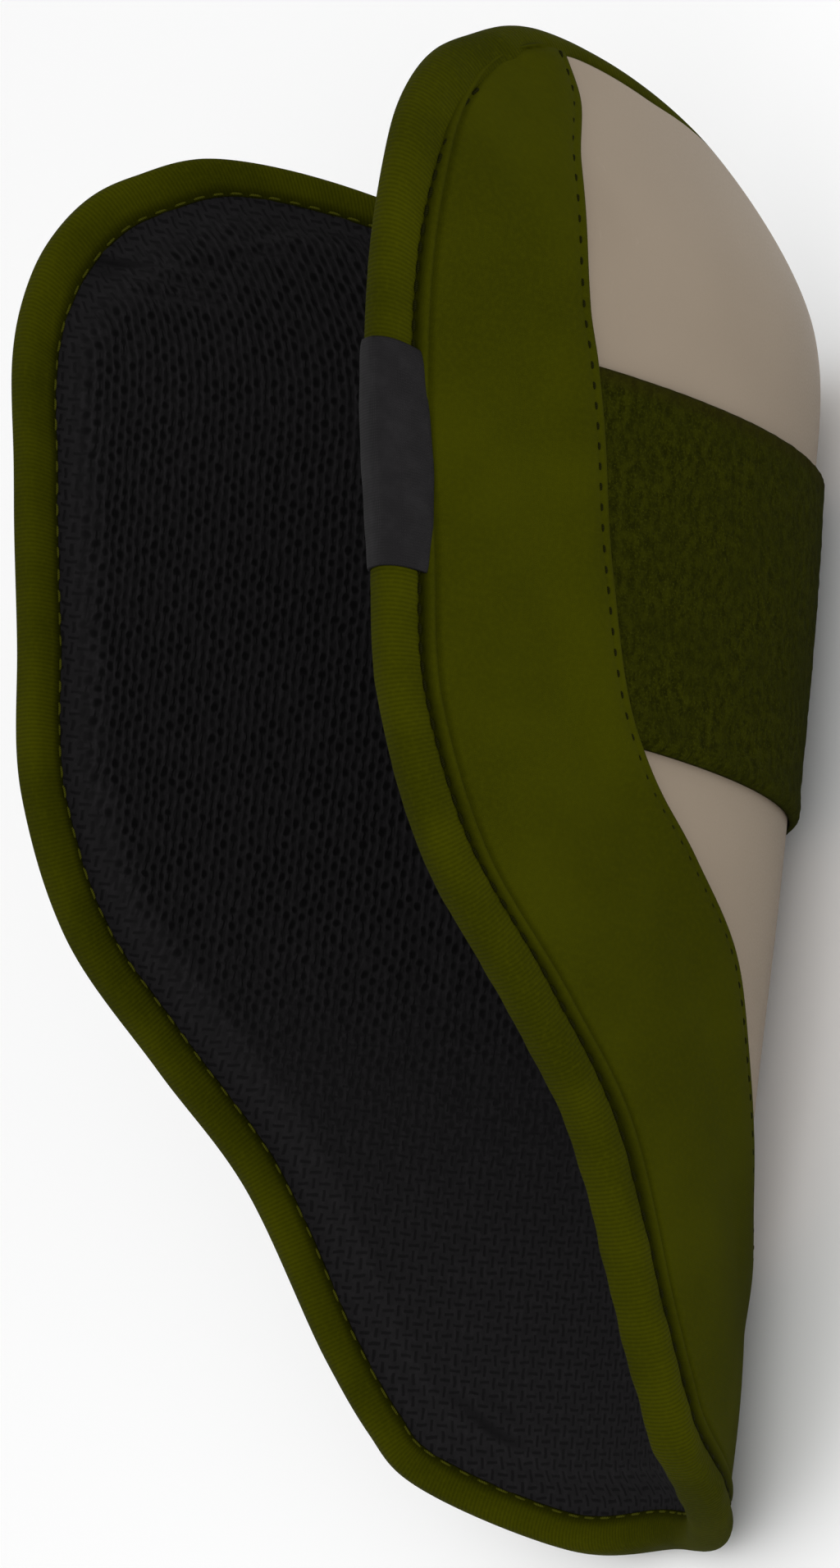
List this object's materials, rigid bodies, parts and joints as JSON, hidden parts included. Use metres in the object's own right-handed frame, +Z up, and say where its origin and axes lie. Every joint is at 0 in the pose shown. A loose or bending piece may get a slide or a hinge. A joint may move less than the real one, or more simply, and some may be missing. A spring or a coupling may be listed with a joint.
{
  "type": "baseball elbow guard",
  "caption": "Padded U-shaped elbow guard: mesh-lined foam, stretch cover, hard back cap and a loop band across it for a strap.",
  "frame": {"origin": "bottom centre of the bounding box, on the surface that the guard lies on", "axes": "+Z up from the surface, +Y along the guard's length to its wide upper end, the open side facing up"},
  "size_m": [0.1312, 0.2352, 0.1216],
  "materials": {
    "lining_mesh": "black knitted spacer mesh over foam",
    "cover_cloth": "smooth olive stretch cloth",
    "cap_plastic": "satin beige moulded plastic",
    "brushed_loop": "dark olive brushed loop",
    "binding_tape": "olive ribbed tape",
    "label_weave": "black woven tag, bare"
  },
  "bodies": {
    "root": {"lining_pad": "lining_mesh", "outer_cover": "cover_cloth", "shell": "cap_plastic", "loop_band": "brushed_loop", "edge_binding": "binding_tape", "side_label": "label_weave"}
  },
  "joints": []
}
